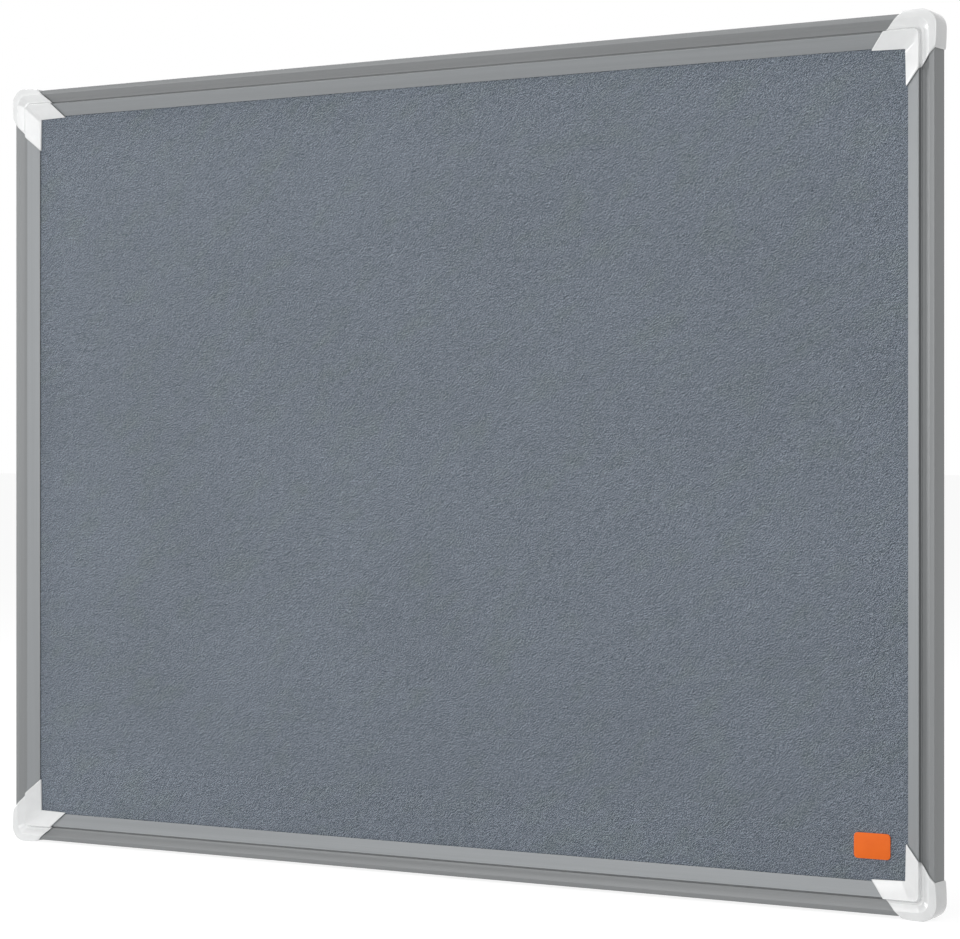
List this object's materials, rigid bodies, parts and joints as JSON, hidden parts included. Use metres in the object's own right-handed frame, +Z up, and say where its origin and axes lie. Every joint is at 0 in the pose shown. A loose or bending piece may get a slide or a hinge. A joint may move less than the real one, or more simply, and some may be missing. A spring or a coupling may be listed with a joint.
{
  "type": "felt bulletin board",
  "caption": "Wall board with a flat felt face in a slim hollow aluminium frame with stepped bevelled rails and rounded white corner caps.",
  "frame": {"origin": "centre of the back, on the wall plane", "axes": "+X right across the board, +Y into the wall, +Z up"},
  "size_m": [0.6032, 0.0136, 0.4532],
  "materials": {
    "rail_aluminium": "satin anodised extrusion with fine lines along its length",
    "cap_plastic": "glossy moulded white plastic",
    "bracket_plastic": "moulded light grey plastic",
    "screw_steel": "zinc plated",
    "felt": "fine blue-grey needle felt with a short matted nap",
    "fibreboard": "soft pressed fibre, unfinished",
    "backing": "smooth grey backing card",
    "tab": "plain satin orange, nothing printed on it"
  },
  "bodies": {
    "root": {"frame_rail_top": "rail_aluminium", "frame_rail_right": "rail_aluminium", "frame_rail_bottom": "rail_aluminium", "frame_rail_left": "rail_aluminium", "corner_cap_top_left": "cap_plastic", "corner_cap_top_right": "cap_plastic", "corner_cap_bottom_right": "cap_plastic", "corner_cap_bottom_left": "cap_plastic", "corner_bracket_top_left": "bracket_plastic", "corner_bracket_top_right": "bracket_plastic", "corner_bracket_bottom_right": "bracket_plastic", "corner_bracket_bottom_left": "bracket_plastic", "corner_screw_top_left_a": "screw_steel", "corner_screw_top_left_b": "screw_steel", "corner_screw_top_right_a": "screw_steel", "corner_screw_top_right_b": "screw_steel", "corner_screw_bottom_right_a": "screw_steel", "corner_screw_bottom_right_b": "screw_steel", "corner_screw_bottom_left_a": "screw_steel", "corner_screw_bottom_left_b": "screw_steel", "felt_covering": "felt", "core_board": "fibreboard", "backing_sheet": "backing", "face_tab": "tab"}
  },
  "joints": []
}
